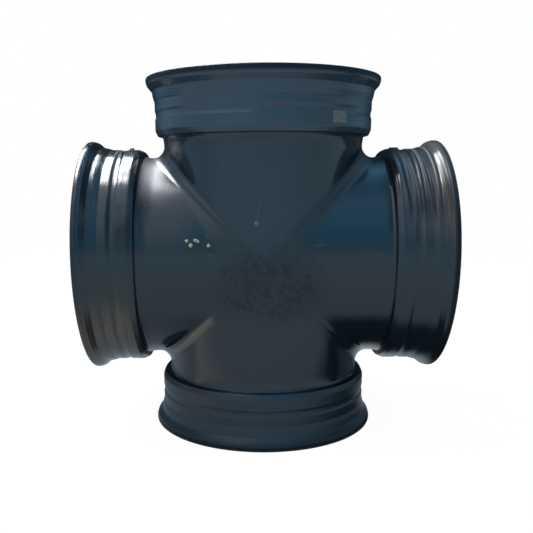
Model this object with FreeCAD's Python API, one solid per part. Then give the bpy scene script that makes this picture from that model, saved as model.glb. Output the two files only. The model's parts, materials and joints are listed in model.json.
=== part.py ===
import FreeCAD, Part
import math
import os

# A pipe cross, moulded in one piece from black polyethylene: an upright run and a level pair of side
# branches, of one bore, that cross at right angles and end in four like sockets for plain drain pipe.
# +Z goes up the run, +X along the right branch, and the front looks along -Y. The origin is the point
# where the two axes cross. The cross stands on the mouth of its lower socket. Millimetres.

# The crossing tubes
TUBE_BORE_R = 160.0
TUBE_WALL = 6.0
CROTCH_R = 21.0           # outside fillet between two arms, seen from the front
NECK_STRAIGHT = 12.0      # tube between the fillets and the root of a socket
NECK_FLARE = 8.5          # the part of that tube which widens towards the socket
NECK_RISE = 2.2

# The sockets: bores and walls
STOP_STEP = 14.0          # the step in radius that a pipe's end meets
STOP_THICKNESS = 6.0      # from the socket's root outside to that step inside
SOCKET_WALL = 6.0
MOUTH_WALL = 5.5

# The sockets: lengths of the outside's stretches, from the root out to the mouth
ROOT_LEAN = 1.5           # the root's steep face
CROWN = 8.5               # the rounded crown over the stop
BAND = 17.0
GROOVE_SIDE = 4.5
GROOVE = 5.0              # the shallow groove's floor
LAND = 13.5               # the plain barrel
RING_SIDE = 8.0           # the slope up to the thick ring
RING = 8.5
RING_END = 1.0            # the small step where the ring ends
FLARE = 8.0
RIM = 6.0                 # the mouth's gentle slope beyond the flare
LIP = 6.0

# The sockets: heights over or under the barrel, each from the stretch before
CROWN_DROP = 3.8
GROOVE_DEPTH = 1.5
RING_RISE = 2.4
RING_SLOPE = 1.6
RING_END_RISE = 0.6
FLARE_RISE = 7.0
RIM_RISE = 1.9
LIP_DROP = 0.2

# Roundings of the sockets' corners
SOFT_EDGE = 9.0
GROOVE_EDGE = 5.0
EDGE = 2.5
LIP_EDGE = 2.4
LEAD_IN = 1.2             # the bevel at the mouth's inner edge
NECK_EDGE = 25.0
STOP_EDGE = 1.5
ROUND_SHARE = 0.45        # the most that a rounding takes of the shorter stretch beside it

# Traces of the mould: a nub on top of each side socket, and the gate's stub on the front of the run
NUB_FROM_ROOT = 23.0
LEFT_NUB_R = 3.6
LEFT_NUB_HEIGHT = 3.2
RIGHT_NUB_R = 8.0
RIGHT_NUB_HEIGHT = 2.2
GATE_R = 4.0
GATE_HEIGHT = 1.0
GATE_X = -13.0
GATE_Z = 68.0
SUNK = 2.5                # how far a nub or the stub reaches into the wall that carries it
NUB_ROUND_SHARE = 0.6     # the rounding of a nub's top, as a share of its height

TUBE_R = TUBE_BORE_R + TUBE_WALL
NECK = TUBE_R + CROTCH_R + NECK_STRAIGHT
SOCKET_BORE_R = TUBE_BORE_R + STOP_STEP
BARREL_R = SOCKET_BORE_R + SOCKET_WALL
RING_TOP_R = BARREL_R + RING_RISE + RING_SLOPE
RIM_R = RING_TOP_R + RING_END_RISE + FLARE_RISE
MOUTH_R = RIM_R + RIM_RISE
STOP = NECK + STOP_THICKNESS
RING_START = NECK + ROOT_LEAN + CROWN + BAND + GROOVE_SIDE + GROOVE + GROOVE_SIDE + LAND + RING_SIDE
RING_STOP = RING_START + RING
RIM_START = RING_STOP + RING_END + FLARE
MOUTH_END = RIM_START + RIM + LIP

CENTRE = FreeCAD.Vector(0, 0, 0)
UP = FreeCAD.Vector(0, 0, 1)
BACK = FreeCAD.Vector(0, 1, 0)


def outside_corners():
    """The corners (distance from the crossing, radius, rounding) of an arm's outside."""
    stretches = [
        (ROOT_LEAN, BARREL_R - CROWN_DROP, EDGE),
        (CROWN, BARREL_R, SOFT_EDGE),
        (BAND, BARREL_R, GROOVE_EDGE),
        (GROOVE_SIDE, BARREL_R - GROOVE_DEPTH, GROOVE_EDGE),
        (GROOVE, BARREL_R - GROOVE_DEPTH, GROOVE_EDGE),
        (GROOVE_SIDE, BARREL_R, GROOVE_EDGE),
        (LAND, BARREL_R, GROOVE_EDGE),
        (RING_SIDE, BARREL_R + RING_RISE, EDGE),
        (RING, RING_TOP_R, EDGE),
        (RING_END, RING_TOP_R + RING_END_RISE, EDGE),
        (FLARE, RIM_R, GROOVE_EDGE),
        (RIM, MOUTH_R, SOFT_EDGE),
        (LIP, MOUTH_R - LIP_DROP, LIP_EDGE),
    ]
    neck_r = TUBE_R + NECK_RISE
    corners = [(0.0, TUBE_R, 0.0), (NECK - NECK_FLARE, TUBE_R, NECK_EDGE), (NECK, neck_r, 0.0)]
    place = NECK
    for length, radius, rounding in stretches:
        place += length
        corners.append((place, radius, rounding))
    corners.append((place, 0.0, 0.0))
    return corners


def inside_corners():
    """The corners of an arm's passage: the tube's bore, the stop, the socket's bore and its lead-in."""
    mouth_bore_r = MOUTH_R - MOUTH_WALL
    return [
        (0.0, TUBE_BORE_R, 0.0),
        (STOP, TUBE_BORE_R, STOP_EDGE),
        (STOP, SOCKET_BORE_R, 0.0),
        (RING_START, SOCKET_BORE_R, EDGE),
        (RING_STOP, RING_TOP_R - SOCKET_WALL, EDGE),
        (RIM_START, RIM_R - MOUTH_WALL, EDGE),
        (MOUTH_END - LEAD_IN, mouth_bore_r, 0.0),
        (MOUTH_END, mouth_bore_r + LEAD_IN, 0.0),
        (MOUTH_END, 0.0, 0.0),
    ]


def rounded_edges(corners):
    """Straight stretches between the corners, with a tangent arc at each corner that has a rounding."""
    points = [FreeCAD.Vector(radius, 0, place) for place, radius, rounding in corners]
    edges = []
    start = points[0]
    for index in range(1, len(points)):
        corner = points[index]
        rounding = corners[index][2]
        if rounding == 0:
            edges.append(Part.makeLine(start, corner))
            start = corner
            continue
        back = points[index - 1] - corner
        ahead = points[index + 1] - corner
        half_turn = (math.pi - back.getAngle(ahead)) / 2
        room = ROUND_SHARE * min(back.Length, ahead.Length)
        reach = min(rounding * math.tan(half_turn), room)
        radius = reach / math.tan(half_turn)
        back.normalize()
        ahead.normalize()
        inward = back + ahead
        inward.normalize()
        enter = corner + back * reach
        apex = corner + inward * (radius / math.cos(half_turn) - radius)
        leave = corner + ahead * reach
        edges.append(Part.makeLine(start, enter))
        edges.append(Part.Arc(enter, apex, leave).toShape())
        start = leave
    return edges


def arm(corners, slope):
    """One round arm along +Z, cut back to the planes z = slope * |x|, where it meets its neighbours."""
    far_end = FreeCAD.Vector(0, 0, corners[-1][0])
    edges = rounded_edges(corners)
    edges.append(Part.makeLine(far_end, CENTRE))
    edges.append(Part.makeLine(CENTRE, FreeCAD.Vector(corners[0][1], 0, 0)))
    round_arm = Part.Face(Part.Wire(edges)).revolve(CENTRE, UP, 360)
    reach = 2 * far_end.z
    right = FreeCAD.Vector(reach, -reach, slope * reach)
    left = FreeCAD.Vector(-reach, -reach, slope * reach)
    ridge = FreeCAD.Vector(0, -reach, 0)
    wedge = Part.Face(Part.makePolygon([ridge, right, left, ridge])).extrude(BACK * (2 * reach))
    return round_arm.common(wedge)


def crotch(tube_r, fillet_r):
    """The filler between the +Z and the +X arm, under a fillet that fades away at the front and back.

    Every slice of the crossing tubes, at any depth, is the same filleted cross at another scale. So the
    fillet's skin is one exact rational patch: half a circle from front to back, and across it a quarter
    of a circle. Its two rims lie in the planes that cut the arms.
    """
    weight = math.sqrt(0.5)
    half_circle = [(0, -1, 1), (1, -1, weight), (1, 0, 1), (1, 1, weight), (0, 1, 1)]
    outer = tube_r + fillet_r
    quarter_circle = [(tube_r, outer, 1), (tube_r, tube_r, weight), (outer, tube_r, 1)]
    poles = []
    weights = []
    for scale, depth, depth_weight in half_circle:
        poles.append([FreeCAD.Vector(scale * x, tube_r * depth, scale * z) for x, z, w in quarter_circle])
        weights.append([depth_weight * w for x, z, w in quarter_circle])
    skin = Part.BSplineSurface()
    skin.buildFromPolesMultsKnots(poles, [3, 2, 3], [3, 3], [0, 1, 2], [0, 1], False, False, 2, 2, weights)
    skin_face = skin.toShape()
    chord = Part.makeLine(BACK * -tube_r, BACK * tube_r)
    rims = [edge for edge in skin_face.Edges if not edge.Degenerated]
    shell = Part.Compound([skin_face] + [Part.Face(Part.Wire([rim, chord])) for rim in rims])
    shell.sewShape()
    return Part.Solid(shell)


def crossing(corners, tube_r, fillet_r):
    """Four arms and the four fillers between them, as one solid."""
    one_arm = arm(corners, (tube_r + fillet_r) / tube_r)
    one_crotch = crotch(tube_r, fillet_r)
    pieces = []
    for quarter in range(4):
        for piece in (one_arm, one_crotch):
            turned = piece.copy()
            turned.rotate(CENTRE, BACK, 90 * quarter)
            pieces.append(turned)
    return pieces[0].multiFuse(pieces[1:])


def stub(radius, height, foot, outward):
    """A low round stub that stands on a wall at foot, sunk into it, with its top edge rounded."""
    peg = Part.makeCylinder(radius, SUNK + height, foot - outward * SUNK, outward)
    top_edges = [edge for edge in peg.Edges if (edge.CenterOfMass - foot).dot(outward) > 0.9 * height]
    return peg.makeFillet(NUB_ROUND_SHARE * height, top_edges)


def mould_traces():
    """The nubs on the two side sockets, on the mould's parting plane, and the gate's stub on the run."""
    nub_place = NECK + NUB_FROM_ROOT
    gate_depth = math.sqrt(TUBE_R**2 - GATE_X**2)
    left_nub = stub(LEFT_NUB_R, LEFT_NUB_HEIGHT, FreeCAD.Vector(-nub_place, 0, BARREL_R), UP)
    right_nub = stub(RIGHT_NUB_R, RIGHT_NUB_HEIGHT, FreeCAD.Vector(nub_place, 0, BARREL_R), UP)
    gate = stub(GATE_R, GATE_HEIGHT, FreeCAD.Vector(GATE_X, -gate_depth, GATE_Z), BACK * -1)
    return [left_nub, right_nub, gate]


def cross_body():
    outside = crossing(outside_corners(), TUBE_R, CROTCH_R)
    passage = crossing(inside_corners(), TUBE_BORE_R, CROTCH_R + TUBE_WALL)
    return outside.cut(passage).fuse(mould_traces()).Solids[0]


os.makedirs("parts", exist_ok=True)
body = cross_body()
body.exportStep("parts/cross_body.step")
box = body.BoundBox
print(f"cross_body: {len(body.Faces)} faces, {body.Volume / 1e6:.3f} litres of plastic, valid {body.isValid()}")
print(f"box {box.XLength:.2f} x {box.YLength:.2f} x {box.ZLength:.2f} mm, mouth end at {MOUTH_END:.2f}")
print(f"socket bore radius {SOCKET_BORE_R:.2f} from {STOP:.2f} to {RING_START:.2f}")
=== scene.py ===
# %% [markdown]
# # A moulded pipe cross
# A pipe cross joins four drain pipes. The real one is a single piece of black polyethylene, so this lesson
# builds one fine skin: a round arm that repeats four times, the rounded crotches between the arms, and the
# few small traces that the mould leaves. Lengths are in metres, +Z is up and the front looks along -Y.

import json
import math
from types import SimpleNamespace

import bmesh
import bpy
from mathutils import Matrix, Vector, noise


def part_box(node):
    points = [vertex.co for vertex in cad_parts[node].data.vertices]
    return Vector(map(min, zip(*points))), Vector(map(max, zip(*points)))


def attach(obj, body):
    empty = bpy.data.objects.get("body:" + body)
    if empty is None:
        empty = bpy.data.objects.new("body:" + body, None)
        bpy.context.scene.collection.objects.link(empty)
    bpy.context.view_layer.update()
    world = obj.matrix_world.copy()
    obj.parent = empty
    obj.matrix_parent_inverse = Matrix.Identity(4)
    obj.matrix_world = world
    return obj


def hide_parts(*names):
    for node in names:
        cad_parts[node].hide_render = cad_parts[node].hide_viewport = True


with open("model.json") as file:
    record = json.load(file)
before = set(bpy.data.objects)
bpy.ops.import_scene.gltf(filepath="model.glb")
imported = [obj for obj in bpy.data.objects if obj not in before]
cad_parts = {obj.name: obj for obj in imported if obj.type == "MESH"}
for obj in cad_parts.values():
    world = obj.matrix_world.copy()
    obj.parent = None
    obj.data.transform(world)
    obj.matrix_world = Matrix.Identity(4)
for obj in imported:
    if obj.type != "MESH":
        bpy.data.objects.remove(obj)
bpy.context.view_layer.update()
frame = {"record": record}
low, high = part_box("cross_body")
print("the solid runs from", [round(v, 4) for v in low], "to", [round(v, 4) for v in high])

# %% [markdown]
# ## The sizes of one arm
# All four arms are alike, so one set of sizes is enough. The mouth's end and the socket's bore are read from
# the frame, which keeps the skin on the solid. Each stretch of the socket's outside has a length, the
# height of its far end over the plain barrel, and the rounding of the edge there, in millimetres.

# %% Name the sizes
MM = 0.001
MOUTH_END = high.z
SOCKET_BORE_R = frame["record"]["mounts"][0]["dims"]["r_mm"] * MM
STOP_STEP = 14 * MM
WALL = 6 * MM
TUBE_BORE_R = SOCKET_BORE_R - STOP_STEP
TUBE_R = TUBE_BORE_R + WALL
BARREL_R = SOCKET_BORE_R + WALL
STRETCHES = [
    # name, length, rise of its far end over the barrel, rounding there
    ("root", 1.5, -3.8, 2.5),
    ("crown", 8.5, 0, 9),
    ("band", 17, 0, 4),
    ("groove side", 4.5, -1.5, 6),
    ("groove", 5, -1.5, 6),
    ("groove end", 4.5, 0, 4),
    ("land", 13.5, 0, 4),
    ("ring side", 8, 2.4, 4),
    ("ring", 8.5, 4, 2.5),
    ("ring end", 1, 4.6, 2.5),
    ("flare", 8, 11.6, 5),
    ("rim", 6, 13.5, 8),
    ("lip", 6, 13.3, 2.6),
]
NECK = MOUTH_END - sum(length for name, length, rise, edge in STRETCHES) * MM
print(f"a socket's root lies {NECK / MM:.1f} mm from the crossing, and its mouth {MOUTH_END / MM:.1f} mm")

# %% [markdown]
# ## The outline of one arm
# Turning an outline about an axis gives a round arm. This outline leaves the crossing along the outside of
# the tube, follows the socket's steps to the lip, and comes back along the bore. Moulded edges are never
# sharp, so each corner becomes a small arc. Every point also keeps the outline's true normal there. The
# shading uses it, so a glossy surface shows smooth reflections and not the facets of the mesh.

# %% List the outline's corners
NECK_SWELL = 2.2 * MM
MOUTH_BORE_R = BARREL_R + 8 * MM
FLARE_BORE_R = BARREL_R + 6.1 * MM
RING_BORE_R = BARREL_R - 2 * MM
FINE_EDGE = 0.4 * MM
STOP_EDGE = 1.5 * MM
LIP_EDGE = 2.4 * MM
BORE_EDGE = 2.5 * MM

places = {}
outline = [(0.0, TUBE_R + NECK_SWELL, 0.0), (NECK, TUBE_R + NECK_SWELL, FINE_EDGE)]
for name, length, rise, edge in STRETCHES:
    places[name] = outline[-1][0] + length * MM
    outline.append((places[name], BARREL_R + rise * MM, edge * MM))
stop = NECK + WALL
outline += [
    # place, radius and rounding on the way back, from the mouth over the stop to the crossing
    (MOUTH_END, MOUTH_BORE_R, LIP_EDGE),
    (places["flare"], FLARE_BORE_R, BORE_EDGE),
    (places["ring"], RING_BORE_R, BORE_EDGE),
    (places["ring side"], SOCKET_BORE_R, BORE_EDGE),
    (stop, SOCKET_BORE_R, FINE_EDGE),
    (stop, TUBE_BORE_R, STOP_EDGE),
    (0.0, TUBE_BORE_R, 0.0),
]
print(f"the outline has {len(outline)} corners, and a pipe's end meets the stop {stop / MM:.1f} mm out")


# %% Round the corners
def rounded(corners, arc_steps=3, share=0.45):
    """(place, radius) points with an arc at each inner corner, and the outward normal of each point.

    An arc takes at most this share of the stretches on both sides of its corner.
    """
    chain = []
    spots = [Vector(corner[:2]) for corner in corners]
    for before, corner, after, (_, _, edge) in zip(spots, spots[1:], spots[2:], corners[1:]):
        arrive = corner - before
        leave = after - corner
        turn = math.atan2(arrive.cross(leave), arrive.dot(leave))
        half_tangent = math.tan(abs(turn) / 2)
        reach = min(edge * half_tangent, share * arrive.length, share * leave.length)
        heading = arrive.normalized()
        to_centre = math.copysign(reach / half_tangent, turn)
        centre = corner - heading * reach + heading.orthogonal() * to_centre
        for step in range(arc_steps + 1):
            normal = Matrix.Rotation(turn * step / arc_steps, 2) @ heading.orthogonal()
            chain.append((centre - normal * to_centre, normal))
    return chain


chain = rounded(outline)
print(f"the rounded outline has {len(chain)} points")

# %% [markdown]
# ## Where the tubes flow into each other
# On the real fitting the fronts of the two tubes run into each other in a soft swell, and each tube widens a
# little before its socket. Both are small bulges that are added to the points of plain crossing tubes. The
# first is a cubic blend of the two fronts, so it stands a sixth of its width proud in the middle. A bulge
# also tilts the surface, so the stored normals are tilted by its slopes.

# %% Bulge the tubes
MERGE = 24 * MM
SLOPE_STEP = 0.02 * MM
NECK_SWELL_LENGTH = 20 * MM


def swell(x, z):
    """How far the plastic stands over the two crossing tubes, where their fronts run into each other."""
    depths = [math.sqrt(max(TUBE_R**2 - place**2, 0)) for place in (x, z)]
    near = max(1 - abs(depths[0] - depths[1]) / MERGE, 0)
    return MERGE / 6 * near**3 * depths[0] * depths[1] / TUBE_R**2


def merged(point, normal):
    """The point moved out by the swell, with its normal tilted by the swell's slopes."""
    x, y, z = point
    side = math.copysign(1, y)
    slope_x = (swell(x + SLOPE_STEP, z) - swell(x - SLOPE_STEP, z)) / (2 * SLOPE_STEP) * side
    slope_z = (swell(x, z + SLOPE_STEP) - swell(x, z - SLOPE_STEP)) / (2 * SLOPE_STEP) * side
    tilted = Vector((normal.x - slope_x * normal.y, normal.y, normal.z - slope_z * normal.y))
    return Vector((x, y + side * swell(x, z), z)), tilted.normalized()


def widened(point, normal):
    """The point moved out where its tube widens towards a socket, with its normal tilted by that slope."""
    for axis in (0, 2):
        share = (abs(point[axis]) - NECK) / NECK_SWELL_LENGTH + 1
        if share > 0:
            outward = Vector(point)
            outward[axis] = 0
            outward.normalize()
            slope = 2 * NECK_SWELL / NECK_SWELL_LENGTH * share
            normal = Vector(normal)
            normal[axis] -= math.copysign(slope, point[axis]) * normal.dot(outward)
            point = point + outward * NECK_SWELL * share**2
    return point, normal.normalized()


def bulged(column):
    """A column of (point, normal) on the plain tubes, with both bulges."""
    return [widened(*merged(*spot)) for spot in column]


print(f"the merged fronts stand {swell(0, 0) / MM:.1f} mm over the tubes")

# %% [markdown]
# ## The skin
# The skin is a grid of quads: one direction goes around an arm and the other goes along its outline. Each
# arm is cut where it meets its neighbours. The cut isn't a boolean: the first and the last row of the grid
# simply lie in the two slanted planes where the crotch's fillets end. Every slice of two equal crossing
# tubes that is parallel to the front is the same cross at another scale, so one formula gives the crotch.

# %% Lay the grid of one arm
CROTCH_R = 21 * MM
MITRE_REACH = TUBE_R + CROTCH_R
AROUND = 176
TUBE_ROWS = 34
BORE_ROWS = 3
ROW_CROWDING = 1.4


def arm_grid():
    """Columns of (point, normal) for the arm along +Z, from the outer mitre over the lip to the inner one."""
    first, last = chain[0][0], chain[-1][0]
    tube_shares = [1 - (1 - row / TUBE_ROWS) ** ROW_CROWDING for row in range(TUBE_ROWS)]
    bore_shares = [(row + 1) / BORE_ROWS for row in range(BORE_ROWS)]
    columns = []
    for spoke in range(AROUND + 1):
        angle = 2 * math.pi * spoke / AROUND
        across, forward = math.cos(angle), -math.sin(angle)
        mitre = MITRE_REACH * abs(across)
        profile = [(mitre + (first.x - mitre) * share, TUBE_R, 0, 1) for share in tube_shares]
        profile += [(spot.x, spot.y, normal.x, normal.y) for spot, normal in chain]
        profile += [(last.x + (mitre - last.x) * share, TUBE_BORE_R, 0, -1) for share in bore_shares]
        column = [
            (Vector((across * r, forward * r, place)), Vector((across * out, forward * out, along)))
            for place, r, along, out in profile
        ]
        columns.append(bulged(column[:TUBE_ROWS]) + column[TUBE_ROWS:])
    return columns


arm = arm_grid()
print(f"one arm has {len(arm)} by {len(arm[0])} points")

# %% Lay the grids of one crotch, outside and inside
CROTCH_ROWS = 12


def crotch_grid(tube_r, facing):
    """Columns for the crotch between the +Z and the +X arm, seen from outside (facing 1) or inside (-1)."""
    fillet = MITRE_REACH - tube_r
    columns = []
    for spoke in range(AROUND // 2 + 1):
        sweep = math.pi * (spoke / (AROUND // 2) - 0.5)
        scale, depth = math.cos(sweep), math.sin(sweep)
        column = []
        for row in range(CROTCH_ROWS + 1):
            angle = math.pi * (1 + 0.5 * row / CROTCH_ROWS)
            c, s = math.cos(angle), math.sin(angle)
            x, z = MITRE_REACH + fillet * c, MITRE_REACH + fillet * s
            point = Vector((scale * x, tube_r * depth, scale * z))
            normal = Vector((-tube_r * scale * c, -depth * (x * c + z * s), -tube_r * scale * s))
            column.append((point, normal.normalized() * facing))
        columns.append(bulged(column) if facing > 0 else column)
    return columns


crotches = [crotch_grid(TUBE_R, 1), crotch_grid(TUBE_BORE_R, -1)]
print(f"a crotch has {len(crotches[0])} by {CROTCH_ROWS + 1} points on each side of the wall")


# %% Weld four turns of the grids into one skin
def placed(name, shape):
    """Makes a smooth object of a bmesh and puts it in the scene."""
    mesh = bpy.data.meshes.new(name)
    shape.to_mesh(mesh)
    shape.free()
    mesh.shade_smooth()
    made = bpy.data.objects.new(name, mesh)
    bpy.context.scene.collection.objects.link(made)
    return made


def sew(name, grids, turns, weld=0.001 * MM):
    """One object from the grids, repeated at quarter turns about Y. Each point keeps its true normal."""
    sheet = bmesh.new()
    true_normal = sheet.verts.layers.float_vector.new("true_normal")
    for quarter in range(turns):
        turned = Matrix.Rotation(quarter * math.pi / 2, 3, "Y")
        for columns in grids:
            net = []
            for column in columns:
                net.append([sheet.verts.new(turned @ point) for point, normal in column])
                for vert, (point, normal) in zip(net[-1], column):
                    vert[true_normal] = turned @ normal
            for left, right in zip(net, net[1:]):
                for a, b, c, d in zip(left, left[1:], right[1:], right):
                    sheet.faces.new((a, b, c, d))
    bmesh.ops.remove_doubles(sheet, verts=sheet.verts, dist=weld)
    return placed(name, sheet)


def face_outwards(thing):
    """Turns each face so that it looks the way its true normals do, then shades by them."""
    mesh = thing.data
    normals = [Vector(item.vector) for item in mesh.attributes["true_normal"].data]
    shape = bmesh.new()
    shape.from_mesh(mesh)
    wrong = []
    for face in shape.faces:
        wanted = sum((normals[vert.index] for vert in face.verts), Vector())
        if face.normal.dot(wanted) < 0:
            wrong.append(face)
    bmesh.ops.reverse_faces(shape, faces=wrong)
    shape.to_mesh(mesh)
    shape.free()
    mesh.attributes.remove(mesh.attributes["true_normal"])
    mesh.shade_smooth()
    mesh.normals_split_custom_set_from_vertices(normals)
    return len(wrong)


skin = sew("cross_skin", [arm, *crotches], turns=4)
turned_faces = face_outwards(skin)
triangles = sum(len(face.vertices) - 2 for face in skin.data.polygons)
print(f"the skin has {len(skin.data.vertices)} points and {triangles} triangles")
print(f"{turned_faces} faces were turned")

# %% [markdown]
# ## Traces of the mould
# The two halves of a mould meet in a flat plane, and here it runs along the fitting's top and bottom. On
# each side socket a small nub stands there, such as an air pin leaves. The plastic came in at a gate on
# the front of the upright run, and its stub was twisted off, which left a pale rough button. All three are
# low turned shapes, so they use the same rounding as the sockets, and they reach into the wall below them.

# %% Turn small stubs and set them on the walls
UP = Vector((0, 0, 1))
FRONT = Vector((0, -1, 0))
SUNK = 2.5 * MM
FOOT_EDGE = 0.3 * MM
TOP_ROUNDING = 0.6
NUB_PLACE = NECK + 23 * MM
LEFT_NUB_R = 3.6 * MM
LEFT_NUB_HEIGHT = 3.2 * MM
RIGHT_NUB_R = 8 * MM
RIGHT_NUB_HEIGHT = 2.2 * MM
GATE_R = 4 * MM
GATE_HEIGHT = 1 * MM
GATE_X = -13 * MM
GATE_Z = 68 * MM


def stub(name, radius, height, foot, outward, around=24):
    """A low round stub on a wall at foot, with its top edge rounded."""
    top_edge = TOP_ROUNDING * height
    corners = [(-SUNK, 0, 0), (-SUNK, radius, FOOT_EDGE), (height, radius, top_edge), (height, 0, 0)]
    under, over = Vector((-1, 0)), Vector((1, 0))
    profile = [(Vector((-SUNK, 0)), under), *rounded(corners), (Vector((height, 0)), over)]
    stand = UP.rotation_difference(outward).to_matrix()
    columns = []
    for spoke in range(around + 1):
        turned = stand @ Matrix.Rotation(2 * math.pi * spoke / around, 3, "Z")
        columns.append([
            (foot + turned @ Vector((spot.y, 0, spot.x)), turned @ Vector((normal.y, 0, normal.x)))
            for spot, normal in profile
        ])
    made = sew(name, [columns], turns=1)
    face_outwards(made)
    return made


def front_of_tubes(x, z):
    """The point on the front of the crossing tubes at this place, as seen from the front."""
    return Vector((x, -math.sqrt(TUBE_R**2 - min(abs(x), abs(z)) ** 2), z))


gate = front_of_tubes(GATE_X, GATE_Z)
left_nub = stub("left_nub", LEFT_NUB_R, LEFT_NUB_HEIGHT, Vector((-NUB_PLACE, 0, BARREL_R)), UP)
right_nub = stub("right_nub", RIGHT_NUB_R, RIGHT_NUB_HEIGHT, Vector((NUB_PLACE, 0, BARREL_R)), UP)
gate_stub = stub("gate_stub", GATE_R, GATE_HEIGHT, gate, FRONT)
print("the gate's stub stands at", [round(v / MM) for v in gate], "mm")

# %% [markdown]
# ## A blank pad on the upper socket
# Moulders leave a small raised field on a fitting for a stamp. Here it is blank. It follows the round barrel,
# so it is a grid in the barrel's own coordinates, angle and height, whose edge slopes down into the wall. A
# copy of the grid, set back into the wall, closes it to a plate.

# %% Bend the pad around the barrel
PAD_WIDTH = 30 * MM
PAD_HEIGHT = 18 * MM
PAD_RISE = 0.5 * MM
PAD_SUNK = 0.3 * MM
PAD_SLOPE = 1.2 * MM
PAD_BACK = 1 * MM
PAD_CORNER_R = 4 * MM
PAD_ANGLE = math.radians(38.6)
PAD_PLACE = 221.5 * MM


def pad_rise(across, up):
    """How far the pad stands over the barrel at a place on it: full inside, under the wall at its border."""
    corner_x = PAD_WIDTH / 2 - PAD_CORNER_R
    corner_z = PAD_HEIGHT / 2 - PAD_CORNER_R
    inside = PAD_CORNER_R - math.hypot(max(abs(across) - corner_x, 0), max(abs(up) - corner_z, 0))
    share = min(max(inside / PAD_SLOPE, 0), 1)
    return (PAD_RISE + PAD_SUNK) * share * share * (3 - 2 * share) - PAD_SUNK


def pad(columns=60, rows=36):
    """A closed plate bent around the barrel. Its back lies inside the wall."""
    plate = bmesh.new()
    grid = []
    for column in range(columns + 1):
        across = PAD_WIDTH * (column / columns - 0.5)
        angle = PAD_ANGLE + across / BARREL_R
        line = []
        for row in range(rows + 1):
            up = PAD_HEIGHT * (row / rows - 0.5)
            r = BARREL_R + pad_rise(across, up)
            line.append(plate.verts.new((r * math.sin(angle), -r * math.cos(angle), PAD_PLACE + up)))
        grid.append(line)
    for left, right in zip(grid, grid[1:]):
        for a, b, c, d in zip(left, right, right[1:], left[1:]):
            plate.faces.new((a, b, c, d))
    every = [*plate.verts, *plate.edges, *plate.faces]
    back = bmesh.ops.extrude_face_region(plate, geom=every, use_keep_orig=True)
    for vert in back["geom"]:
        if isinstance(vert, bmesh.types.BMVert):
            vert.co -= Vector((vert.co.x, vert.co.y, 0)).normalized() * PAD_BACK
    bmesh.ops.recalc_face_normals(plate, faces=plate.faces)
    return placed("blank_pad", plate)


blank_pad = pad()
print(f"the pad is {PAD_WIDTH / MM:.0f} by {PAD_HEIGHT / MM:.0f} mm and stands {PAD_RISE / MM} mm proud")

# %% [markdown]
# ## Crumbs of dried dirt
# A few pale crumbs stick to the front of the left branch. Each is a small ball of triangles that noise has
# dented. A third of its height is in the wall, so it looks stuck on and not floating.

# %% Press the crumbs onto the branch
CRUMBS_MM = [
    # x, z, width, height over the wall
    (-119.5, 41.5, 4.6, 2.0),
    (-113.4, 35.0, 6.2, 2.6),
    (-106.0, 42.0, 5.0, 2.2),
    (-102.0, 40.6, 4.0, 1.8),
    (-86.1, 34.4, 5.2, 2.6),
]
SUNK_SHARE = 0.5
DENT_DEPTH = 0.35
DENTS = 1.6
SEED_STEP = 7.3


def crumb(name, x, z, width, height, seed):
    """One dented crumb on the front of the branch, from half its height under the wall to its full height."""
    foot = front_of_tubes(x, z)
    outward = Vector((0, foot.y, foot.z)).normalized()
    stand = UP.rotation_difference(outward).to_matrix()
    half = Vector((width, width, height * (1 + SUNK_SHARE))) / 2
    centre = Vector((0, 0, height * (1 - SUNK_SHARE) / 2))
    lump = bmesh.new()
    bmesh.ops.create_icosphere(lump, subdivisions=3, radius=1)
    for vert in lump.verts:
        dent = 1 + DENT_DEPTH * noise.noise(vert.co * DENTS + Vector((seed * SEED_STEP, 0, 0)))
        vert.co = foot + stand @ (half * vert.co * dent + centre)
    return placed(name, lump)


crumbs = [
    crumb(f"crumb_{number}", *(size * MM for size in sizes), seed=number)
    for number, sizes in enumerate(CRUMBS_MM, start=1)
]
print(f"{len(crumbs)} crumbs, the largest {max(sizes[2] for sizes in CRUMBS_MM)} mm wide")

# %% [markdown]
# ## Writing materials as sums
# A material's pattern is arithmetic on fields: noise times a mask, plus a tint. This small class wraps the
# output socket of a node, so that such a sum can be written in Python and adds its own Math nodes.


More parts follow.
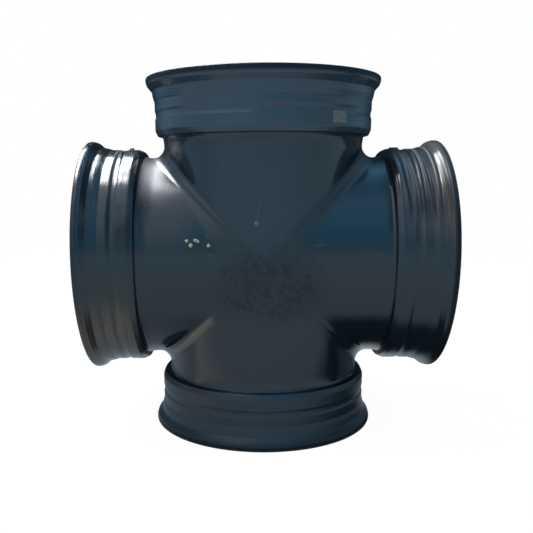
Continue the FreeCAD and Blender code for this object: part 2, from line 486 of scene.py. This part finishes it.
# %% Wrap a socket
class Field:
    """A value, vector or colour that changes over a surface: one output socket of a node."""

    def __init__(self, socket):
        self.socket = socket
        self.tree = socket.id_data

    @staticmethod
    def node(tree, kind, settings=None, inputs=None, output=0):
        """Adds a node, makes its settings, then fills its sockets with values or links."""
        made = tree.nodes.new(kind)
        for name, value in (settings or {}).items():
            if name == "stops":
                stops = made.color_ramp.elements
                stops.remove(stops[1])
                for number, (position, colour) in enumerate(value):
                    stop = stops.new(position) if number else stops[0]
                    stop.position, stop.color = position, (*colour, 1)
            else:
                setattr(made, name, value)
        for name, value in (inputs or {}).items():
            if isinstance(value, Field):
                tree.links.new(value.socket, made.inputs[name])
            else:
                made.inputs[name].default_value = value
        return Field(made.outputs[output])

    def maths(self, operation, *terms):
        """A Math node over these terms."""
        return Field.node(self.tree, "ShaderNodeMath", {"operation": operation}, dict(enumerate(terms)))

    def __add__(self, other):
        return self.maths("ADD", self, other)

    def __sub__(self, other):
        return self.maths("SUBTRACT", self, other)

    def __rsub__(self, other):
        return self.maths("SUBTRACT", other, self)

    def __mul__(self, other):
        return self.maths("MULTIPLY", self, other)

    def __truediv__(self, other):
        return self.maths("DIVIDE", self, other)

    def __gt__(self, other):
        return self.maths("GREATER_THAN", self, other)

    def __neg__(self):
        return 0 - self

    def __abs__(self):
        return self.maths("ABSOLUTE", self)

    __radd__ = __add__
    __rmul__ = __mul__

    def larger(self, other):
        """The larger one of the two, at each place."""
        return self.maths("MAXIMUM", self, other)

    def step(self, start, end):
        """A smooth step from 0 at start to 1 at end."""
        settings = {"interpolation_type": "SMOOTHSTEP"}
        inputs = {"Value": self, "From Min": start, "From Max": end}
        return Field.node(self.tree, "ShaderNodeMapRange", settings, inputs)

    def band(self, start, full, full_end, end):
        """A smooth band that is 1 from full to full_end, and 0 before start and after end."""
        return self.step(start, full) * (1 - self.step(full_end, end))

    def axes(self):
        """This vector's x, y and z."""
        settings = {"operation": "DOT_PRODUCT"}
        for axis in ((1, 0, 0), (0, 1, 0), (0, 0, 1)):
            inputs = {0: self, 1: axis}
            yield Field.node(self.tree, "ShaderNodeVectorMath", settings, inputs, "Value")

    def noise(self, scale, detail=2.0, roughness=0.5):
        """Noise over this vector: scale is in patches a metre."""
        inputs = {"Vector": self, "Scale": scale, "Detail": detail, "Roughness": roughness}
        return Field.node(self.tree, "ShaderNodeTexNoise", None, inputs)

    def tint(self, low_colour, high_colour):
        """A colour that goes from one to the other as this field goes from 0 to 1."""
        inputs = {0: self, 6: low_colour, 7: high_colour}
        return Field.node(self.tree, "ShaderNodeMix", {"data_type": "RGBA"}, inputs, 2)

    def times(self, colour):
        """This colour multiplied by another one."""
        settings = {"data_type": "RGBA", "blend_type": "MULTIPLY"}
        return Field.node(self.tree, "ShaderNodeMix", settings, {0: 1.0, 6: self, 7: colour}, 2)

    def ramp(self, stops):
        """A colour that goes through the stops, each a place from 0 to 1 and a colour."""
        return Field.node(self.tree, "ShaderNodeValToRGB", {"stops": stops}, {0: self})


print("a field can", ", ".join(name for name in vars(Field) if not name.startswith("_")))

# %% [markdown]
# ## What every finish needs
# Each finish below starts the same way: a material with its shader, and the place on the surface, from which
# all patterns follow. Fields or plain values then go to the shader's sockets, a height field tilts the
# shading normal, and a second shader can be mixed in where a mask says so.


# %% Start a finish and fill its sockets
def finish_of(name):
    """A new material: the material, its shader, and the place on the surface as a field."""
    material = bpy.data.materials.new(name)
    material.use_nodes = True
    tree = material.node_tree
    shader = next(node for node in tree.nodes if node.type == "BSDF_PRINCIPLED")
    place = Field.node(tree, "ShaderNodeTexCoord", output="Object")
    return material, shader, place


def feed(shader, **fields):
    """Links fields to the shader's sockets, or sets numbers and colours on the sockets themselves."""
    for name, value in fields.items():
        socket = shader.inputs[name.replace("_", " ")]
        if isinstance(value, Field):
            value.tree.links.new(value.socket, socket)
        else:
            socket.default_value = value


def bump(height, distance, under=None):
    """The shading normal over a height field, whose 0 to 1 stands for this distance in metres."""
    inputs = {"Height": height, "Distance": distance, "Strength": 1.0}
    if under:
        inputs["Normal"] = under
    return Field.node(height.tree, "ShaderNodeBump", None, inputs)


def mix_into(material, share, shader, other):
    """Makes the surface this share of the other shader, and for the rest its own."""
    tree = material.node_tree
    mixed = Field.node(tree, "ShaderNodeMixShader", None, {0: share, 1: Field(shader.outputs[0]), 2: other})
    surface = next(node for node in tree.nodes if node.type == "OUTPUT_MATERIAL")
    tree.links.new(mixed.socket, surface.inputs["Surface"])


print("a finish can be started, fed with fields, bumped and mixed")

# %% [markdown]
# ## Where a point lies on the fitting
# The fitting is black plastic with a high gloss, so it shows its surroundings more than its own colour. What
# keeps it from looking like paint changes from place to place: streaks run around each arm, a painted
# reflection of the ground lies in a crotch, and the sockets carry painted sheen, painted highlights and
# painted shade. So the finish starts with fields that tell where a point lies: how far along its arm, whether
# that arm is an upright one, and whether it is on a socket or on the outside.

# %% Measure places on the fitting
FRONT_FADE = (-100 * MM, -60 * MM)
BORE_FADE = (1 * MM, 4 * MM)


def places_on_fitting(place):
    """The fields that the masks of the finish are made from."""
    x, y, z = place.axes()
    size_x, size_z = abs(x), abs(z)
    upright = size_z > size_x
    along = size_x.larger(size_z)
    across = x * upright + z * (1 - upright)
    socket = along.step(NECK - 4 * MM, NECK + 2 * MM)
    tube = 1 - socket
    outside = (y * y + across * across).step(*((SOCKET_BORE_R + depth) ** 2 for depth in BORE_FADE))
    return SimpleNamespace(
        x=x,
        y=y,
        z=z,
        above_mitre=z - size_x,
        off_mitre=abs(size_x - size_z),
        upright=upright,
        along=along,
        across=across,
        tube=tube,
        socket=socket,
        outside=outside,
        front=1 - y.step(*FRONT_FADE),
        right_socket=x.step(NECK + 6 * MM, NECK + 20 * MM) * outside,
        upper=z.step(NECK - 6 * MM, NECK + 4 * MM),
        lower=(-z).step(NECK - 4 * MM, NECK + 8 * MM),
        shoulder=(1 - x.step(-180 * MM, -105 * MM)) * z.step(45 * MM, 120 * MM) * tube,
    )


body, body_shader, body_place = finish_of("black_polyethylene")
on = places_on_fitting(body_place)
print("places on the fitting:", ", ".join(vars(on)))

# %% [markdown]
# ## Streaks and clouds
# The real surface has fine streaks and broad swells that run around each arm, as a turned mould leaves them.
# Noise over a squeezed place gives both: it changes fast along the arm and slowly around it. Plain noise
# gives the cloudy tone of a handled surface.

# %% Mix the streaks and clouds
def rings(on, along_scale, around_scale, upright_shift, **noise_settings):
    """Noise that runs in rings around each arm. The shift keeps the upright arms unlike the level ones."""
    squeezed = {
        0: on.along * along_scale,
        1: on.y * around_scale,
        2: on.across * around_scale + on.upright * upright_shift,
    }
    return Field.node(on.y.tree, "ShaderNodeCombineXYZ", None, squeezed).noise(1.0, **noise_settings)


on.streaks = rings(on, 330, 5, 40, detail=3.0, roughness=0.55)
on.swells = rings(on, 42, 13, 9, detail=1.0)
on.cloudy = body_place.noise(7.0, detail=3.0)
on.fine_cloud = body_place.noise(45.0, detail=4.0)
print("the finish has", len(body.node_tree.nodes), "nodes so far")

# %% [markdown]
# ## Wear and a painted reflection
# Handling has left a worn oval of dull blots low on the front, and a few short scratches. In the crotch at
# the lower left a pale tan band is a painted reflection of the warm ground. Each is a mask: 1 where the mark
# is, 0 where the plastic is clean.

# %% Mark the scratches, the smudges and the crease's painted reflection
SCRATCHES_MM = [
    # start x, z, end x, z, half width, strength
    (-12.0, 70.0, -7.0, 106.0, 1.6, 0.32),
    (76.0, 33.5, 90.0, 34.5, 2.4, 0.32),
    (-86.0, 23.0, -81.0, 18.5, 1.8, 0.6),
    (-91.0, 50.5, -87.5, 47.0, 1.8, 0.45),
]
CREASE_MM = (-156.0, -160.0, -84.0, -84.0, 8.5, 0.65)
WORN_CENTRE = (8 * MM, -28 * MM)
WORN_SIZE = (92 * MM, 68 * MM)


def scratch(on, start_x, start_z, end_x, end_z, half_width, strength):
    """A mask along a straight line, given in millimetres: strength on the line, 0 beyond its half width."""
    half_width *= MM
    run_x, run_z = (end_x - start_x) * MM, (end_z - start_z) * MM
    length = math.hypot(run_x, run_z)
    from_x, from_z = on.x - start_x * MM, on.z - start_z * MM
    along = (from_x * run_x + from_z * run_z) / length
    distance = abs((from_x * run_z - from_z * run_x) / length)
    ends = along.band(-half_width, half_width, length - half_width, length + half_width)
    return (1 - distance.step(half_width * 0.2, half_width)) * ends * strength


on.scratches = sum(scratch(on, *line) * on.front for line in SCRATCHES_MM)
# The crease mask carries a painted reflection: the pale tan of sunlit ground mirrored in the lower left
# crotch.
on.crease = scratch(on, *CREASE_MM)
off_x, off_z = ((axis - middle) / size for axis, middle, size in zip((on.x, on.z), WORN_CENTRE, WORN_SIZE))
worn_oval = 1 - (off_x * off_x + off_z * off_z).step(0.15, 1.3)
blots = body_place.noise(75.0, detail=3.0, roughness=0.55).step(0.45, 0.72)
spots = body_place.noise(120.0, detail=2.0).step(0.50, 0.66)
on.smudges = worn_oval * (blots * 0.4 + spots * 0.4 + 0.35) * on.front
print(f"{len(SCRATCHES_MM)} scratches, one dusty crease and one worn oval")

# %% [markdown]
# ## The colour
# The plastic is nearly black, with painted reflections of the blue sky on the upper socket and on the run
# below it.
# Tints are laid over each other like glazes, from the clean plastic to the marks on it: a painted reflection
# of warm ground in the crease, a painted sheen and rings of painted highlight on the right socket, mud low on
# the left one, and the scratches.

# %% Glaze the plastic
DEEP = (0.008, 0.016, 0.024, 1)
CLEAN = (0.013, 0.026, 0.037, 1)
# The next two tints are painted reflections of the blue sky, on the run above the mitres and on the upper
# socket.
RUN_PAINTED_SKY_REFLECTION = (0.014, 0.032, 0.050, 1)
SOCKET_PAINTED_SKY_REFLECTION = (0.031, 0.066, 0.102, 1)
# Pale tan painted reflection of the ground, for the lower left crease.
CREASE_PAINTED_REFLECTION = (0.27, 0.26, 0.20, 1)
WARM_GREY = (0.060, 0.052, 0.048, 1)
# A painted sheen: the paler streaked haze where light falls on the right socket's upper side.
PAINTED_SHEEN = (0.17, 0.165, 0.155, 1)
# A painted highlight: two bright rings where the right socket's ridges would mirror the bright sky.
PAINTED_HIGHLIGHT = (0.70, 0.68, 0.65, 1)
MUD = (0.055, 0.050, 0.042, 1)
SCRATCHED = (0.075, 0.095, 0.10, 1)
HIGHLIGHT_RINGS_MM = ((244, 247, 249, 252), (261, 264, 265, 268))

# Painted sheen, streaked, high on the right socket.
painted_sheen = on.right_socket * on.z.step(85 * MM, 125 * MM) * on.streaks.step(0.40, 0.60)
mud = (-on.x).step(NECK, NECK + 8 * MM) * (-on.z).step(10 * MM, 110 * MM) * on.outside
# Rings of painted highlight on the right socket's upper side.
painted_highlight_rings = sum(on.x.band(*(edge * MM for edge in ring)) for ring in HIGHLIGHT_RINGS_MM)
painted_highlight_rings = painted_highlight_rings * on.z.step(95 * MM, 150 * MM) * (on.streaks * 0.9 + 0.35)

colour = (on.cloudy * 0.6 + on.fine_cloud * 0.4).tint(DEEP, CLEAN)
for mask, glaze in [
    (on.above_mitre.step(0, 30 * MM), RUN_PAINTED_SKY_REFLECTION),
    (on.upper, SOCKET_PAINTED_SKY_REFLECTION),
    (on.crease * (on.cloudy * 0.8 + 0.4), CREASE_PAINTED_REFLECTION),
    (on.right_socket * on.z.step(10 * MM, 90 * MM), WARM_GREY),
    (painted_sheen, PAINTED_SHEEN),
    (painted_highlight_rings, PAINTED_HIGHLIGHT),
    (mud, MUD),
    (on.scratches, SCRATCHED),
]:
    colour = mask.tint(colour, glaze)
feed(body_shader, Base_Color=colour)
print("the colour took the finish to", len(body.node_tree.nodes), "nodes")

# %% [markdown]
# ## Gloss and relief
# The gloss varies a little everywhere. It drops on the scratches, on the left shoulder, along the upper right
# mitre and on the upper and lower sockets. The relief is a chain of bumps. The cooled wall isn't quite true,
# which bends long reflections. The sockets carry the swells and the streaks, and close up the skin has the
# fine grain of orange peel.

# %% Set the gloss and the relief
WAVE_DEPTH = 1.3 * MM
SWELL_DEPTH = 1.6 * MM
STREAK_DEPTH = 0.5 * MM
GRAIN_DEPTH = 0.02 * MM

mitre = (1 - on.off_mitre.step(6 * MM, 30 * MM)) * on.x.step(40 * MM, 80 * MM) * on.z.step(0, 40 * MM)
roughness = 0.09 + on.fine_cloud * 0.07 + on.streaks * on.socket * 0.05
dull_places = [(on.scratches, 0.3), (on.shoulder, 0.22), (on.upper, 0.12), (on.lower, 0.26), (mitre, 0.3)]
for dull_place, amount in dull_places:
    roughness = roughness + dull_place * amount

softened = 1 - on.lower * 0.7
streaked = on.socket * 0.92 + on.shoulder * 0.17 + 0.08
relief = bump(body_place.noise(9.0, detail=1.0), WAVE_DEPTH)
relief = bump(on.swells * on.socket * softened, SWELL_DEPTH, relief)
relief = bump(on.streaks * streaked * softened, STREAK_DEPTH, relief)
relief = bump(body_place.noise(450.0, detail=2.0), GRAIN_DEPTH, relief)
feed(body_shader, Roughness=roughness, Normal=relief, IOR=1.5)
print("gloss and relief took the finish to", len(body.node_tree.nodes), "nodes")

# %% [markdown]
# ## A dull film and painted shade
# Grease and dust take the shine away without adding colour on the smudges. The same dull shader also paints
# shade
# and dark reflections: on the lips, low on the lower socket, between the bright bands of the left socket, in
# stripes on the right one, and on the left branch's neck. Roughness alone would only blur a reflection, so
# there a second shader takes over, nearly black and with hardly any shine.

# %% Lay the film and the painted shade over the plastic
FILM_AND_PAINTED_SHADE = (0.006, 0.012, 0.020, 1)

left_socket = (-on.x).step(NECK, NECK + 6 * MM)
# Painted shade: dark, dull bands on the lips, low on the lower socket, between the left socket's bright
# bands, in stripes on the right socket and on the left neck.
lip_painted_shade = on.along.step(MOUTH_END - 11 * MM, MOUTH_END - 6 * MM) * (1 - left_socket * 0.7)
lower_lip_painted_shade = (-on.z).step(MOUTH_END - 24 * MM, MOUTH_END - 6 * MM)
groove_painted_shade = on.along.band(232 * MM, 235 * MM, 240 * MM, 244 * MM) * 0.8
crown_painted_shade = (1 - on.along.step(222 * MM, 232 * MM)) * on.fine_cloud.step(0.35, 0.6) * 0.7
left_socket_painted_shade = left_socket * on.z.step(0, 80 * MM) * groove_painted_shade.larger(crown_painted_shade)
right_socket_painted_shade = on.right_socket * on.z.step(60 * MM, 95 * MM) * (1 - on.streaks.step(0.40, 0.58))
neck_painted_shade = (-on.x).step(170 * MM, 181 * MM) * on.tube * on.z.step(60 * MM, 95 * MM)

film_and_shade_cover = on.smudges * 0.6
for painted_dark, cover in [(lip_painted_shade, 0.9), (lower_lip_painted_shade, 0.55), (left_socket_painted_shade, 1.0), (right_socket_painted_shade, 0.85), (neck_painted_shade, 0.75)]:
    film_and_shade_cover = film_and_shade_cover.larger(painted_dark * cover)
film_and_shade_shader = Field.node(body.node_tree, "ShaderNodeBsdfPrincipled")
feed(film_and_shade_shader.socket.node, Base_Color=FILM_AND_PAINTED_SHADE, Roughness=0.5, Specular_IOR_Level=0.12)
mix_into(body, film_and_shade_cover, body_shader, film_and_shade_shader)
print("the body's finish has", len(body.node_tree.nodes), "nodes in the end")

# %% [markdown]
# ## The small finishes
# The stub's torn plastic is pale and a little orange where the light comes through it. The crumbs are dry
# and chalky. The pad is the body's plastic with a dull, finely blasted face, which looks paler.


# %% Mix the finishes of the stub, the crumbs and the pad
def plain_finish(name, dark, light, patches, roughness, grain):
    """A finish of two mixed tones with this many patches a metre, and a rough grain of this depth."""
    material, shader, place = finish_of(name)
    tone = place.noise(patches, detail=4.0)
    fine = place.noise(patches * 5, detail=3.0)
    feed(shader, Base_Color=tone.step(0.35, 0.65).tint((*dark, 1), (*light, 1)))
    feed(shader, Roughness=roughness - 0.1 + tone * 0.2, Normal=bump(fine, grain))
    return material


torn = plain_finish("torn_plastic", (0.09, 0.075, 0.055), (0.22, 0.18, 0.13), 300.0, 0.55, 0.15 * MM)
dirt = plain_finish("dried_dirt", (0.42, 0.45, 0.30), (0.72, 0.75, 0.55), 500.0, 0.8, 0.2 * MM)
blasted = plain_finish("blasted_pad", (0.11, 0.135, 0.145), (0.19, 0.215, 0.22), 260.0, 0.5, 0.03 * MM)
for pieces, finish in [
    ([skin, left_nub, right_nub], body),
    ([gate_stub], torn),
    (crumbs, dirt),
    ([blank_pad], blasted),
]:
    for piece in pieces:
        piece.data.materials.append(finish)
print("finishes:", ", ".join(material.name for material in bpy.data.materials if material.users))

# %% [markdown]
# ## The stage
# The floor is white and so is the world behind it. For a camera ray, and for one that a glossy surface sends
# out, both shine at a strength near 1, which is plain white. The floor keeps part of its own shading, so the
# fitting's soft shadow still shows on it.


# %% Lay the floor
def seen_directly(tree):
    """1 for a ray from the camera, or one that a glossy or a clear surface sends out, and else 0."""
    rays = ("Is Camera Ray", "Is Glossy Ray", "Is Transmission Ray")
    camera, glossy, clear = (Field.node(tree, "ShaderNodeLightPath", output=ray) for ray in rays)
    return camera.larger(glossy).larger(clear)


def sheet_of(name, size, height):
    """A square level sheet of one face over the middle, with this side and at this height."""
    half = size / 2
    corners = [(-half, -half, height), (half, -half, height), (half, half, height), (-half, half, height)]
    mesh = bpy.data.meshes.new(name)
    mesh.from_pydata(corners, [], [(0, 1, 2, 3)])
    made = bpy.data.objects.new(name, mesh)
    bpy.context.scene.collection.objects.link(made)
    return made


FLOOR_SIZE = 12.0
FLOOR_GLOW = 1.2
SHADING_SHARE = 0.2

floor = sheet_of("floor", FLOOR_SIZE, low.z)
white, white_shader, _ = finish_of("white_floor")
feed(white_shader, Base_Color=(0.6, 0.6, 0.6, 1), Roughness=0.9, Specular_IOR_Level=0.0)
shine = {"Color": (1, 1, 1, 1), "Strength": FLOOR_GLOW}
glow = Field.node(white.node_tree, "ShaderNodeEmission", None, shine)
mix_into(white, seen_directly(white.node_tree) * (1 - SHADING_SHARE), white_shader, glow)
floor.data.materials.append(white)
print(f"the floor is {FLOOR_SIZE} m wide and lies at z {low.z:.3f} m")

# %% Light the world
AMBIENT = 0.25

world = bpy.data.worlds.new("white_room")
world.use_nodes = True
bpy.context.scene.world = world
sky = next(node for node in world.node_tree.nodes if node.type == "BACKGROUND")
feed(sky, Color=(1, 1, 1, 1), Strength=AMBIENT + seen_directly(world.node_tree) * (1 - AMBIENT))
print(f"the world shines at {AMBIENT} for soft light, and at 1 where it is seen")

# %% [markdown]
# ## A room for the reflections
# A glossy black thing is lit by what it reflects, and white all around would wash it out. So a dome stands
# over the fitting and a second ground lies just above the floor. Both show in reflections only, and both glow
# with the plain tones of a room. The dome is a pale grey blue at the left, a deeper blue at the right and
# nearly black at the back, which keeps the silhouette dark. One bright window overhead draws the bands on the
# left socket. The tones depend on the place on the dome, so each is a mask and a tint, like the marks on the
# plastic.

# %% Choose the tones of the dome
DOME_R = 2.6
DIVIDE_X = -0.30
ROOM_STRENGTH = 2.0
SLOPE_FLOOR = 0.4
LEFT_TONES = [
    # share of the dome's height, colour
    (0.04, (0.27, 0.44, 0.58)),
    (0.12, (0.27, 0.45, 0.60)),
    (0.22, (0.25, 0.40, 0.52)),
    (0.30, (0.26, 0.42, 0.55)),
    (0.46, (0.37, 0.51, 0.65)),
    (0.62, (0.46, 0.60, 0.74)),
    (0.77, (0.56, 0.67, 0.81)),
    (0.90, (0.69, 0.80, 0.90)),
    (1.0, (0.90, 0.95, 1.0)),
]
RIGHT_TONES = [
    (0.04, (0.27, 0.44, 0.58)),
    (0.12, (0.25, 0.41, 0.54)),
    (0.22, (0.14, 0.32, 0.47)),
    (0.46, (0.08, 0.375, 0.62)),
    (0.62, (0.11, 0.44, 0.76)),
    (0.77, (0.135, 0.475, 0.80)),
    (0.88, (0.20, 0.50, 0.85)),
    (0.95, (0.13, 0.39, 0.66)),
    (1.0, (0.07, 0.28, 0.51)),
]
PLAIN = (1, 1, 1, 1)
FAR_LEFT_TINGE = (0.72, 0.66, 0.66, 1)
LEFT_TINGE = (1, 0.97, 0.96, 1)
RIGHT_TINGE = (0.86, 0.84, 0.84, 1)
HALF_DARK = (0.45, 0.45, 0.45, 1)
LEFT_SHADE = (0.2, 0.28, 0.38, 1)
OVERHEAD = (0.12, 0.23, 0.34, 1)
RIGHT_OVERHEAD = (0.19, 0.28, 0.36, 1)
BACK = (0.01, 0.015, 0.02, 1)
print(f"the dome has {len(LEFT_TONES)} tones at the left and {len(RIGHT_TONES)} at the right")


# %% Lay the tones over each other
def overhead_slopes(x, y, z):
    """How far a place leans to the right and to the back, as seen when one looks up from the fitting."""
    height = z.larger(SLOPE_FLOOR)
    return x / height, y / height


def room_tones(x, y, z):
    """The plain tones of the dome."""
    level = z / DOME_R
    lean, _ = overhead_slopes(x, y, z)
    tones = x.step(DIVIDE_X - 0.05, DIVIDE_X + 0.05).tint(level.ramp(LEFT_TONES), level.ramp(RIGHT_TONES))
    tones = tones.times(x.step(-2.55, -1.7).tint(FAR_LEFT_TINGE, LEFT_TINGE))
    tones = tones.times(x.step(0.6, 2.4).tint(PLAIN, RIGHT_TINGE))
    tones = (x.step(1.4, 2.2) * level.step(0.15, 0.4)).tint(tones, tones.times(HALF_DARK))
    for mask, tone in [
        ((1 - x.step(-1.6, -1.0)) * y.step(-0.6, 0.1) * level.step(0.15, 0.3), LEFT_SHADE),
        (x.band(-0.26, -0.18, 0.15, 0.28) * level.step(0.35, 0.6), OVERHEAD),
        (lean.step(0.5, 0.7) * level.step(0.4, 0.5), RIGHT_OVERHEAD),
        (y.step(0.7, 2.2), BACK),
    ]:
        tones = mask.tint(tones, tone)
    return tones


print(f"the two sides of the dome meet at x {DIVIDE_X} m")

# %% Build the dome with its window
WINDOW = (19.0, 19.3, 19.8, 1)


def window(x, y, z):
    """A mask for the bright window overhead. A dim bar in it keeps the left socket's neck dark."""
    lean, depth = overhead_slopes(x, y, z)
    pane = lean.band(-0.64, -0.50, -0.15, -0.12) * depth.band(-0.15, 0.07, 0.82, 0.92)
    pane *= 1 - lean.step(-0.24, -0.20) * depth.step(0.40, 0.60)
    return pane * (1 - lean.band(-0.28, -0.25, -0.195, -0.17) * 0.9)


def glowing(name, tones_of):
    """A finish that only glows, in tones that a function works out from x, y and z."""
    material, shader, place = finish_of(name)
    feed(shader, Base_Color=(0, 0, 0, 1), Roughness=1.0, Specular_IOR_Level=0.0)
    feed(shader, Emission_Color=tones_of(*place.axes()), Emission_Strength=ROOM_STRENGTH)
    return material


def show_in_reflections_only(made, finish):
    """Gives a thing of the stage its finish and hides it from all rays but those of glossy surfaces."""
    made.data.materials.append(finish)
    made.visible_camera = False
    made.visible_diffuse = False
    made.visible_shadow = False
    made.visible_transmission = False


dome_net = bmesh.new()
bmesh.ops.create_icosphere(dome_net, subdivisions=5, radius=DOME_R)
dome = placed("dome", dome_net)
dome_finish = glowing("dome_finish", lambda x, y, z: window(x, y, z).tint(room_tones(x, y, z), WINDOW))
show_in_reflections_only(dome, dome_finish)
print(f"the dome stands {DOME_R} m around the fitting")

# %% [markdown]
# ## The ground in the reflections
# The lower halves of the level arms mirror the ground. It is grey, goes over to blue far in front, and has a
# warm patch at the left and one under the middle. A dark strip and a dark corner stand for the fitting's own
# shade, and behind the fitting the ground is nearly black.

# %% Lay the ground
GROUND_LIFT = 4 * MM
GROUND_TONES = [
    # metres in front of the fitting, colour
    (0.0, (0.19, 0.24, 0.28)),
    (0.33, (0.27, 0.35, 0.41)),
    (0.76, (0.34, 0.39, 0.42)),
    (1.0, (0.32, 0.41, 0.49)),
]
FAR_GROUND = (0.24, 0.38, 0.51, 1)
WARM_GROUND = (0.49, 0.47, 0.44, 1)
SHADE = (0.005, 0.01, 0.015, 1)
BACK_GROUND = (0.01, 0.01, 0.012, 1)


def ground_tones(x, y, z):
    """The plain tones of the ground."""
    left_warm = y.band(-0.5, -0.25, -0.2, -0.08) * (1 - x.step(-0.27, -0.21)) * 0.9
    right_warm = y.step(0.01, 0.09) * x.band(-0.1, 0.0, 0.22, 0.3) * 0.4
    strip = y.band(-0.27, -0.17, -0.03, 0.05) * x.step(-0.25, -0.07) * (x.step(0.0, 0.12) * 0.45 + 0.55)
    corner = x.step(0.26, 0.42) * y.step(-0.4, -0.15) * 0.8
    tones = (-y).ramp(GROUND_TONES)
    for mask, tone in [
        ((-y).step(1.0, 2.2), FAR_GROUND),
        (left_warm.larger(right_warm), WARM_GROUND),
        (strip.larger(corner), SHADE),
        (y.step(0.15, 0.4), BACK_GROUND),
    ]:
        tones = mask.tint(tones, tone)
    return tones


ground = sheet_of("ground", 2 * DOME_R, low.z + GROUND_LIFT)
show_in_reflections_only(ground, glowing("ground_finish", ground_tones))
print(f"the ground lies {GROUND_LIFT / MM:.0f} mm over the floor")

# %% [markdown]
# ## The lamps
# Two large lamps give the plastic's own dark colour, the crumbs and the floor a soft light: one overhead, to
# the left and a little behind, and a weak one in front. The dome already gives the reflections, so the lamps
# are left out of those. A lamp's power is worked out from its brightness and its size, so a lamp of another
# size looks just as bright.


# %% Hang the lamps
def lamp(name, place, width, height, brightness):
    """A soft lamp of this size and brightness, turned to the middle of the fitting."""
    light = bpy.data.lights.new(name, "AREA")
    light.shape = "RECTANGLE"
    light.size, light.size_y = width, height
    light.energy = brightness * math.pi * width * height
    made = bpy.data.objects.new(name, light)
    made.location = place
    made.rotation_euler = (-Vector(place)).to_track_quat("-Z", "Y").to_euler()
    made.visible_camera = False
    made.visible_glossy = False
    bpy.context.scene.collection.objects.link(made)
    return made


key = lamp("key_lamp", (-1.1, 0.2, 1.9), 1.6, 1.6, 3.2)
fill = lamp("fill_lamp", (-0.9, -2.0, 1.3), 1.4, 1.2, 1.6)
print("lamps:", ", ".join(f"{item.name} {item.data.energy:.0f} W" for item in (key, fill)))

# %% [markdown]
# ## The camera
# The photographer stood before the front, about 1.2 metres away, and looked down at the fitting a little. The
# frame's centre isn't the lens's centre, which the shift puts right.

# %% Set the camera
CAMERA_PLACE = Vector((-0.0272, -1.2036, 0.1438))
PITCH = math.radians(-13.759)
HEADING = math.radians(-0.016)
ROLL = math.radians(-0.290)
SENSOR_MM = 36
LENS_MM = 46.102
SHIFT = (0.03473, 0.13515)

camera = bpy.data.objects.new("camera", bpy.data.cameras.new("camera"))
camera.data.sensor_width = SENSOR_MM
camera.data.lens = LENS_MM
camera.data.shift_x, camera.data.shift_y = SHIFT
tilt = Matrix.Rotation(math.pi / 2 + PITCH, 4, "X") @ Matrix.Rotation(ROLL, 4, "Z")
aim = Matrix.Rotation(HEADING, 4, "Z") @ tilt
camera.matrix_world = Matrix.Translation(CAMERA_PLACE) @ aim
bpy.context.scene.collection.objects.link(camera)
bpy.context.scene.camera = camera
bpy.context.scene.view_settings.view_transform = "Standard"
print("the camera's up is", [round(v, 4) for v in aim.col[1]])

# %% [markdown]
# ## Hand over the pieces
# Every piece rides on the fitting's one body. The skin stands for the solid, which stays hidden in the frame.

# %% Attach every piece to the body and hide the solid
dressed = [skin, left_nub, right_nub, gate_stub, blank_pad, *crumbs]
for piece in dressed:
    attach(piece, "root")
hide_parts("cross_body")
print(f"the dressed part has {len(dressed)} pieces")
